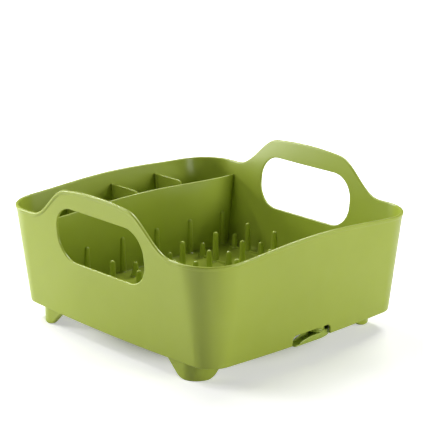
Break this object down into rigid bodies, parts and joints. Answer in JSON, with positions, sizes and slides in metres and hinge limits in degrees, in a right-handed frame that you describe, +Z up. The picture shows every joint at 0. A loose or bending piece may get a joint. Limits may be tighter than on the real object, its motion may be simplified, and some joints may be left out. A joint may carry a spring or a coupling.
{
  "type": "dish drying rack",
  "caption": "Deep tub-shaped dish drying rack with carry handles, plate pegs, a divided cutlery section and a swivelling drain spout.",
  "frame": {"origin": "on the ground under the middle of the rack", "axes": "+X to the right along the front wall, +Y towards the cutlery section at the back, +Z up"},
  "size_m": [0.3416, 0.3676, 0.1885],
  "materials": {
    "moulding": "satin polypropylene",
    "spout": "satin polypropylene"
  },
  "bodies": {
    "tub": {"tub_shell": "moulding", "floor_pan": "moulding", "drain_tube": "moulding", "peg_row_1": "moulding", "peg_row_2": "moulding", "peg_row_3": "moulding", "peg_row_4": "moulding", "peg_row_5": "moulding", "peg_row_6": "moulding", "cutlery_partition": "moulding", "cutlery_divider_left": "moulding", "cutlery_divider_middle": "moulding", "cutlery_divider_right": "moulding", "foot_front_left": "moulding", "foot_front_right": "moulding", "foot_back_left": "moulding", "foot_back_right": "moulding"},
    "spout": {"drain_spout": "spout"}
  },
  "joints": [
    {"name": "spout_swivel", "type": "hinge", "parent": "tub", "child": "spout", "pos_m": [0.0195, -0.1602, 0.028], "axis": [0, 0, 1], "range_deg": [0, 90]}
  ]
}
